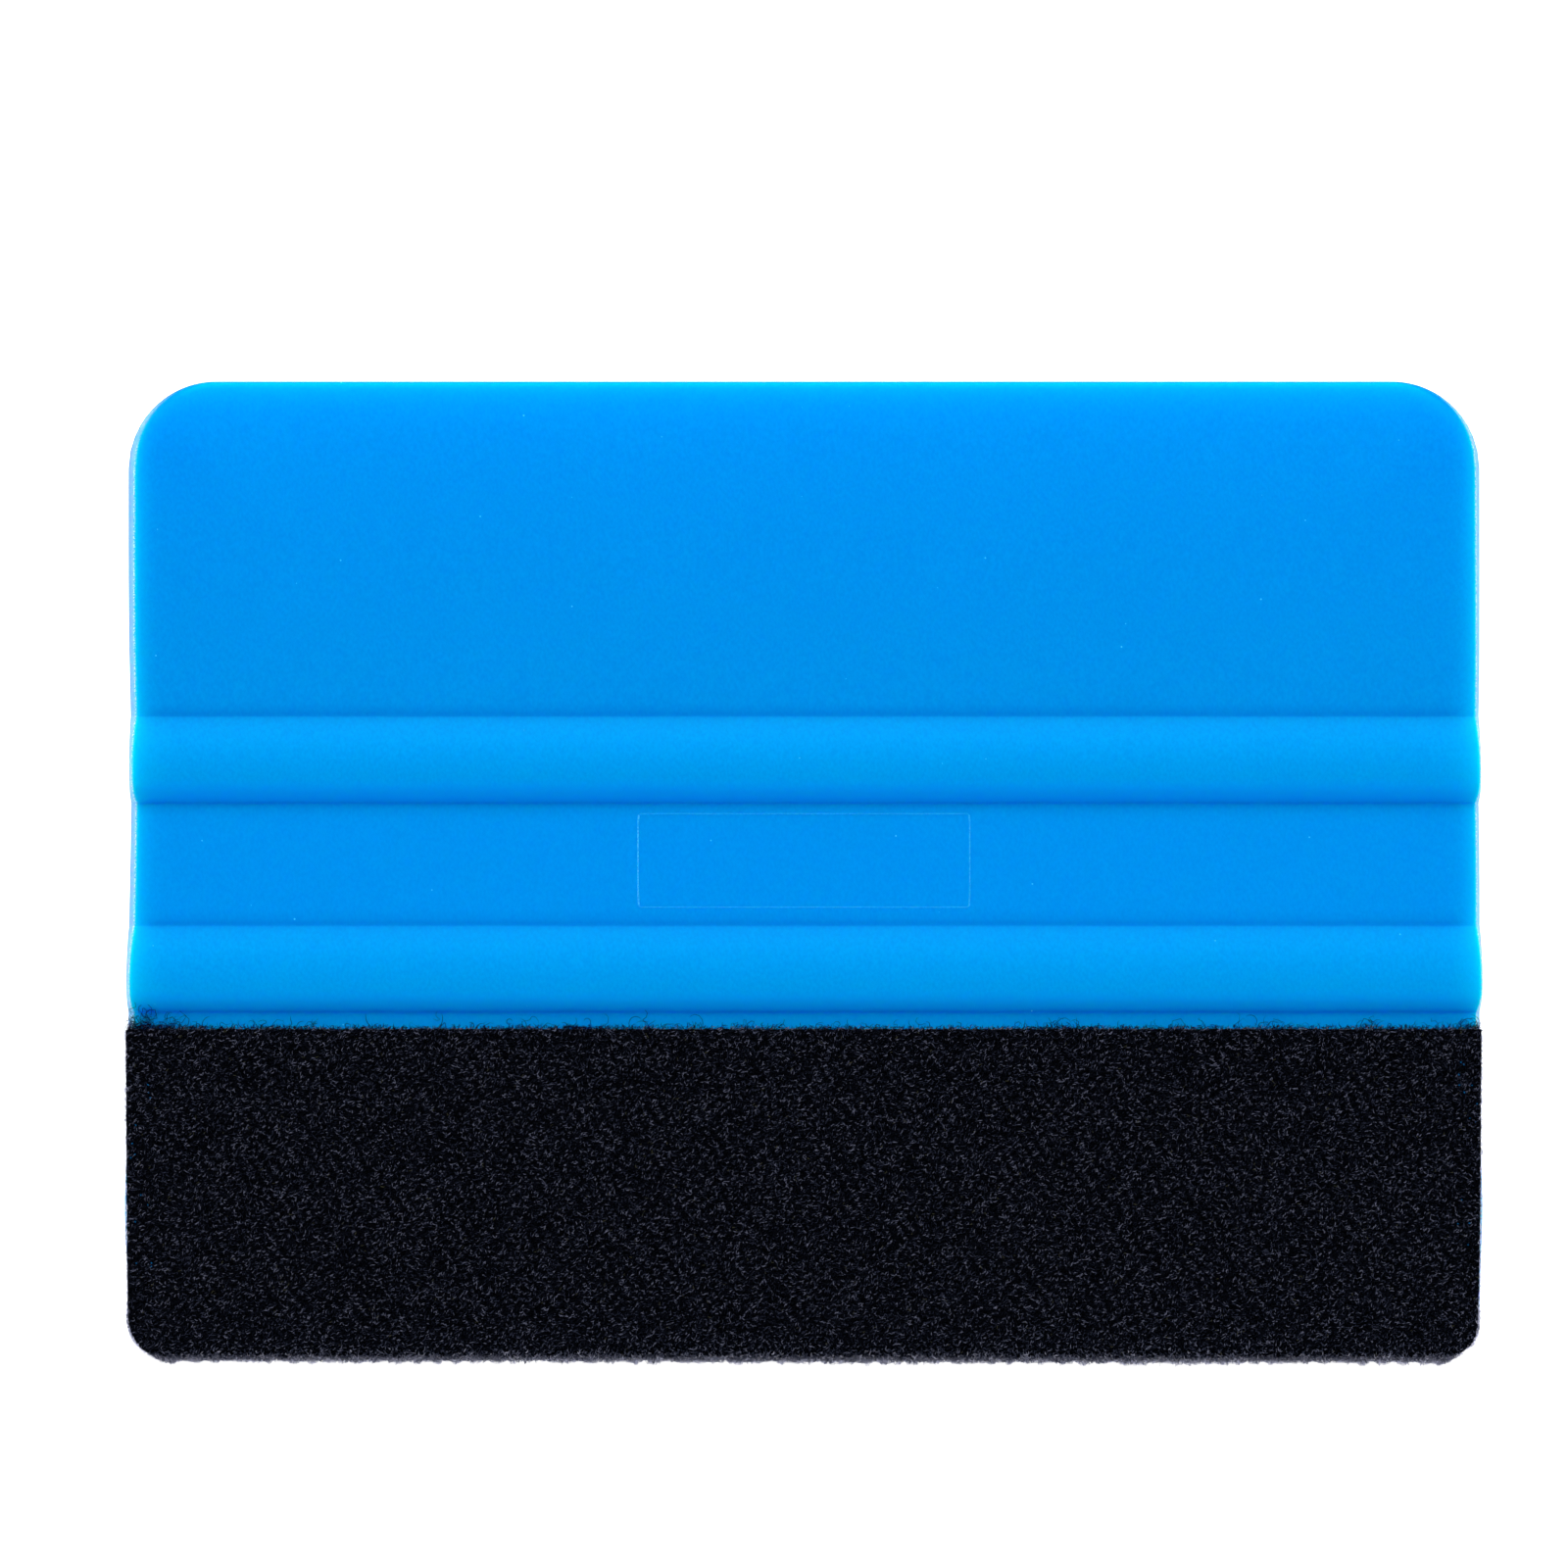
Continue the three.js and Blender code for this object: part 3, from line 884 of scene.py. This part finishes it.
def nap(name, rng, down_low, down_high, spacing, rise, dyes, shares):
    """The brushed nap: short curled fibres in small clumps, leaning mostly one way."""
    x, down = scatter(rng, down_low, down_high, spacing)
    n = len(x)
    clump = waves(x, down * 1.8, CLUMP_SIZE, 24, rng)
    drift = waves(x, down, DRIFT_SIZE, 10, rng) * DRIFT
    heading = NAP_LEAN + drift + rng.normal(0, 0.6, n)
    length = rng.uniform(*NAP_LENGTH, n) * MM
    bend = rng.normal(0, 1.0, n)
    wave = np.abs(rng.normal(0, 0.4, n))
    low = rng.uniform(*NAP_LOW, n) * MM - fringe_drop(down)
    high = low + (rng.uniform(0.1, 0.7, n) + 0.3 * np.clip(0.5 + 0.4 * clump, 0, 1)) * rise
    radius = rng.uniform(*NAP_RADIUS, n) * MM
    paths = curl_paths(rng, x, down, heading, length, bend, wave, low, high, 4)
    # fibres on the clumps' tops get paler dyes and those in the hollows darker ones: painted light
    # on the tops, painted shade in the hollows
    return fibre_pieces(name, paths, radius, dyed(rng, shares, n, 0.6 * clump), dyes)


class Kind:
    """One kind of loose fibre. Lengths, heights and radii are ranges in millimetres, and
    bends and waves are in radians."""

    def __init__(self, length, low, rise, radius, bend, wave, uneven=False, points=5):
        self.length = length
        self.low = low  # one end's height above the felt's outer face
        self.rise = rise
        self.radius = radius
        self.bend = bend
        self.wave = wave
        self.uneven = uneven  # each fibre waves by another amount
        self.points = points


SIDE_FUZZ = Kind((0.12, 0.36), (-0.75, 0.0), (-0.05, 0.12), (0.013, 0.024), 1.6, 0.4)
FOLD_FUZZ = Kind((0.15, 0.45), (-0.34, -0.06), (0.08, 0.4), (0.014, 0.022), 2.0, 0.5)
CUT_EDGE = Kind((0.15, 0.5), (-0.5, -0.12), (-0.02, 0.1), (0.018, 0.03), 1.2, 0.3)
CUT_WISP = Kind((0.14, 0.45), (-0.6, -0.1), (0.0, 0.15), (0.018, 0.03), 1.8, 0.4)
STRAY = Kind((0.35, 1.2), (-0.8, -0.4), (0.05, 0.45), (0.018, 0.028), 4.0, 0.9, True, 10)

FRONT_SHARE = 0.7  # of the fibres along the two cut edges, those on the front one
EDGE_MARGIN = 0.15 * MM  # how far they keep from the strip's sides


def loose_fibres(name, rng, kind, x, down, heading, dyes, shares, lift=1.0):
    """Fibres of one kind at the given places, in mixed dyes."""
    count = len(x)
    length = rng.uniform(*kind.length, count) * MM
    low = rng.uniform(*kind.low, count) * MM
    high = low + rng.uniform(*kind.rise, count) * lift * MM
    radius = rng.uniform(*kind.radius, count) * MM
    bend = rng.normal(0, kind.bend, count)
    wave = np.full(count, kind.wave)
    if kind.uneven:
        wave = np.abs(rng.normal(0, kind.wave, count))
    paths = curl_paths(rng, x, down, heading, length, bend, wave, low, high, kind.points)
    return fibre_pieces(name, paths, radius, dyed(rng, shares, count), dyes)


SIDE_MARGIN = 0.1 * MM
CORNER_SHARE = 0.4  # of the side fuzz, the part that stands about the corners by the fold
CORNER_SPREAD = 5


def edge_fuzz(name, rng, count, dyes, shares):
    """Fibres that stand out of the cut sides."""
    down = rng.uniform(SIDE_MARGIN, STRIP - SIDE_MARGIN, count)
    corner = STRIP / 2 + rng.uniform(-CORNER_SPREAD, CORNER_SPREAD, count) * MM
    down = np.where(rng.random(count) < CORNER_SHARE, corner, down)
    left, right = sides_at(down)
    on_left = rng.random(count) < 0.5
    x = np.where(on_left, left, right)
    heading = np.where(on_left, math.pi, 0.0) + rng.normal(0, 1.0, count)
    return loose_fibres(name, rng, SIDE_FUZZ, x, down, heading, dyes, shares)


# Where the fringe and the brow over it lie, in millimetres down from the fold's middle, and
# how widely each spreads
FRINGE = (-0.2, 0.35)
BROW = (-0.95, 0.36)
TUFT_SIZE = 1.3 * MM


def fold_fuzz(name, rng, place, count, dyes, shares):
    """Fine pale fibres that stand out of the fold, in low tufts. Many take the near-white lavender
    dye, which is painted backlight: light shining through them from behind.
    """
    x = rng.uniform(-FELT_HALF_WIDTH, FELT_HALF_WIDTH, count)
    down = STRIP / 2 + rng.normal(*place, count) * MM
    tufted = np.clip(0.5 + 0.35 * waves(x, 0 * x, TUFT_SIZE, 20, rng), 0, 1)
    left, right = sides_at(down)
    x = np.clip(x, left + SIDE_MARGIN, right - SIDE_MARGIN)
    heading = rng.uniform(0, 2 * math.pi, count)
    lift = 0.4 + 0.8 * tufted
    return loose_fibres(name, rng, FOLD_FUZZ, x, down, heading, dyes, shares, lift)


def along_cut(rng, count):
    return rng.uniform(EDGE_MARGIN - FELT_HALF_WIDTH, FELT_HALF_WIDTH - EDGE_MARGIN, count)


def cut_edge_fuzz(name, rng, count, dyes, shares):
    """The pale raw edge of the strip, front and back: short fibres along the cut."""
    x = along_cut(rng, count)
    down = np.where(rng.random(count) < FRONT_SHARE, 0.0, STRIP)
    heading = rng.normal(0, 0.5, count)
    return loose_fibres(name, rng, CUT_EDGE, x, down, heading, dyes, shares)


BUNCHES = 40
BUNCH_SHARE = 0.45
BUNCH_SPREAD = 0.9


def cut_edge_wisps(name, rng, count, dyes, shares):
    """Short dark ends that poke out past the cut, many of them in bunches."""
    x = along_cut(rng, count)
    bunch = rng.choice(rng.uniform(-FELT_HALF_WIDTH, FELT_HALF_WIDTH, BUNCHES), count)
    bunch = np.clip(bunch + rng.normal(0, BUNCH_SPREAD, count) * MM, x.min(), x.max())
    x = np.where(rng.random(count) < BUNCH_SHARE, bunch, x)
    front = rng.random(count) < FRONT_SHARE
    out = rng.normal(0.05, 0.07, count) * MM
    heading = rng.normal(math.pi / 2, 0.8, count)
    down = np.where(front, -out, STRIP + out)
    return loose_fibres(name, rng, CUT_WISP, x, down, heading, dyes, shares)


CRUMB_IN = (0.3, 2.0)  # how far in from the felt's ends, and down from its cut edge
CRUMB_DOWN = (2, 18)
CRUMB_LENGTH = (0.1, 0.16)
CRUMB_LIFT = (0.0, 0.08)
CRUMB_RADIUS = 0.04 * MM


def blue_crumbs(name, rng, count, dyes):
    """Specks of blue swarf caught in the nap near the felt's two ends."""
    x = rng.choice([-1, 1], count) * (FELT_HALF_WIDTH - rng.uniform(*CRUMB_IN, count) * MM)
    down = rng.uniform(*CRUMB_DOWN, count) * MM
    heading = rng.uniform(0, math.pi, count)
    length = rng.uniform(*CRUMB_LENGTH, count) * MM
    lift = rng.uniform(*CRUMB_LIFT, count) * MM
    none = np.zeros(count)
    paths = curl_paths(rng, x, down, heading, length, none, none, lift, lift)
    return fibre_pieces(name, paths, np.full(count, CRUMB_RADIUS), dyed(rng, [1.0], count), dyes)


STRAY_FRONT_SHARE = 0.75
TUFT_SHARE = 0.3  # of the strays, those in the tuft at the left end
END_SHARE = 0.16  # of the others, those near the right end
END_SPREAD = 2.2
STRAY_OUT = 0.14  # how far a stray lies out from the cut, on average
TUFT_OUT = 0.1
TUFT_RISE = 0.42  # how much further it lies at the very end
TUFT_REACH = 4 * MM


def stray_fibres(name, rng, count, dyes, shares):
    """Loose fine curls that hang over the blade along both cut edges, thickest at one end."""
    left = -FELT_HALF_WIDTH
    tuft = rng.random(count) < TUFT_SHARE
    end = ~tuft & (rng.random(count) < END_SHARE)
    x = rng.uniform(left, -left, count)
    x = np.where(end, -left - rng.exponential(END_SPREAD, count) * MM, x)
    x = np.where(tuft, left + rng.gamma(1.6, 1.1, count) * MM, x)
    x = np.clip(x, left + 0.3 * MM, -left - 0.4 * MM)
    front = rng.random(count) < STRAY_FRONT_SHARE
    in_tuft = TUFT_RISE * np.exp(-(x - left) / TUFT_REACH) + TUFT_OUT
    out = rng.exponential(1.0, count) * (np.where(tuft, in_tuft, STRAY_OUT) * MM)
    down = np.where(front, -out, STRIP + out)
    heading = rng.normal(math.pi / 2, 1.1, count) * np.where(front, 1, -1)
    return loose_fibres(name, rng, STRAY, x, down, heading, dyes, shares)


FOLD_ZONE = 0.6 * MM  # how far past the fold's turn its own nap goes


def make_nap():
    rng = np.random.default_rng(SEED)
    dyes = [
        fibre("fibre_black", 0.0007, 0.001, 0.0022),
        fibre("fibre_navy", 0.0085, 0.0108, 0.021),
        fibre("fibre_grey", 0.05, 0.059, 0.104, 0.1),
        fibre("fibre_pale", 0.21, 0.225, 0.33, 0.15),
        fibre("fibre_olive", 0.08, 0.08, 0.04, 0.1),
    ]
    # the fringe's near-white lavender fibres are painted backlight, light shining through the
    # fibres from behind
    fringe_dyes_with_painted_backlight = [dyes[2], dyes[3], fibre("fibre_lavender_painted_backlight", 0.78, 0.79, 1.0)]
    raw = [dyes[1], fibre("fibre_raw_edge", 0.1, 0.1, 0.13), dyes[3]]
    stray = [fibre("fibre_stray", 0.0006, 0.002, 0.01), dyes[0]]
    body = [0.46, 0.23, 0.204, 0.102, 0.004]
    # paler dyes on the fold's brow: painted light for the glow at the fold's rim
    brow_shares_with_painted_light = [0.25, 0.3, 0.3, 0.146, 0.004]
    fold_half = FELT_OUTER_RADIUS * TURN / 2 + FOLD_ZONE
    front_end, back_start = STRIP / 2 - fold_half, STRIP / 2 + fold_half
    pieces = nap("felt_nap_front", rng, 0, front_end, 0.13 * MM, 0.32 * MM, dyes, body)
    pieces += nap("felt_nap_fold", rng, front_end, back_start, 0.16 * MM, 0.36 * MM, dyes, brow_shares_with_painted_light)
    pieces += nap("felt_nap_back", rng, back_start, STRIP, 0.22 * MM, 0.2 * MM, dyes, body)
    # the side and fold fuzz are mostly the pale painted-backlight fibres
    pieces += edge_fuzz("felt_side_fuzz", rng, 7000, fringe_dyes_with_painted_backlight, [0.15, 0.2, 0.65])
    pieces += fold_fuzz("felt_fold_fuzz", rng, FRINGE, 13000, fringe_dyes_with_painted_backlight, [0.1, 0.3, 0.6])
    pieces += fold_fuzz("felt_brow_fuzz", rng, BROW, 9000, fringe_dyes_with_painted_backlight, [0.36, 0.48, 0.16])
    pieces += cut_edge_fuzz("felt_cut_edge", rng, 1600, raw, [0.4, 0.5, 0.1])
    pieces += cut_edge_wisps("felt_cut_wisps", rng, 3400, [stray[0], dyes[1]], [0.7, 0.3])
    pieces += blue_crumbs("felt_blue_crumbs", rng, 26, [fibre("crumb_blue", 0.0, 0.2, 0.62)])
    pieces += stray_fibres("felt_stray_fibres", rng, 460, stray, [0.7, 0.3])
    return pieces


# ---------------------------------------------------------------- stage

FLOOR_SIZE = 6
FLOOR_GLOW = 0.95
WORLD_GLOW = 0.14
VIEW_WIDTH = 116.3 * MM  # what the picture spans at the card's middle plane
CAMERA_RISE = 250 * MM
CAMERA_X = -1.47 * MM
CAMERA_Y = 6.5 * MM


def make_floor():
    bpy.ops.mesh.primitive_plane_add(size=FLOOR_SIZE, location=(0, 0, cad_bounds[0].z))
    floor = bpy.context.object
    floor.name = "studio_floor"
    s = Surface("studio_floor")
    speckle = s.span(s.noise(2 * MM, 2.0), 0.3, 0.7)
    s.feed(
        s.shader,
        {
            "Base Color": s.mix(speckle, colour(0.86, 0.86, 0.87), colour(0.88, 0.88, 0.89)),
            "Roughness": 0.9,
            "Specular IOR Level": 0.1,
            "Emission Color": colour(1, 1, 1),
            "Emission Strength": FLOOR_GLOW,
        },
    )
    floor.data.materials.append(s.material)


def make_light(name, azimuth, elevation, distance, size, power):
    """A soft box that faces the card. Azimuth 0 is towards the thumb edge."""
    data = bpy.data.lights.new(name, "AREA")
    data.shape = "RECTANGLE"
    data.size, data.size_y = size
    data.energy = power
    light = bpy.data.objects.new(name, data)
    a, e = math.radians(azimuth), math.radians(elevation)
    light.location = (
        distance * math.sin(a) * math.cos(e),
        distance * math.cos(a) * math.cos(e),
        distance * math.sin(e),
    )
    light.rotation_euler = (math.radians(elevation - 90), 0, -a)
    bpy.context.scene.collection.objects.link(light)


def make_studio():
    make_floor()
    make_light("key_box", 0, 36, 0.9, (0.7, 0.5), 9.6)
    make_light("low_box", 180, 32, 0.9, (0.7, 0.4), 1.9)
    make_light("left_box", -90, 40, 0.8, (0.5, 0.4), 1.2)
    make_light("right_box", 90, 40, 0.8, (0.5, 0.4), 1.2)
    world = bpy.data.worlds.new("studio_air")
    world.use_nodes = True
    tree = world.node_tree
    air = tree.nodes["Background"]
    air.inputs["Color"].default_value = colour(1, 1, 1)
    seen = tree.nodes.new("ShaderNodeLightPath")
    strength = tree.nodes.new("ShaderNodeMath")  # faint as a light, and as pale as the floor
    strength.operation = "MULTIPLY_ADD"
    strength.inputs[1].default_value = 1 - WORLD_GLOW
    strength.inputs[2].default_value = WORLD_GLOW
    tree.links.new(seen.outputs["Is Camera Ray"], strength.inputs[0])
    tree.links.new(strength.outputs[0], air.inputs["Strength"])
    bpy.context.scene.world = world
    bpy.context.scene.view_settings.view_transform = "Standard"


def make_camera():
    data = bpy.data.cameras.new("camera")
    data.lens = data.sensor_width * CAMERA_RISE / VIEW_WIDTH
    data.clip_start, data.clip_end = 0.01, 20
    camera = bpy.data.objects.new("camera", data)
    camera.location = (CAMERA_X, CAMERA_Y, MIDDLE_Z + CAMERA_RISE)
    bpy.context.scene.collection.objects.link(camera)
    bpy.context.scene.camera = camera


make_studio()
make_camera()
make_blade()
felt = make_felt()
nap_pieces = make_nap()
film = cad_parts["adhesive_film"]
film.data.materials.clear()
film.data.materials.append(glue_film())
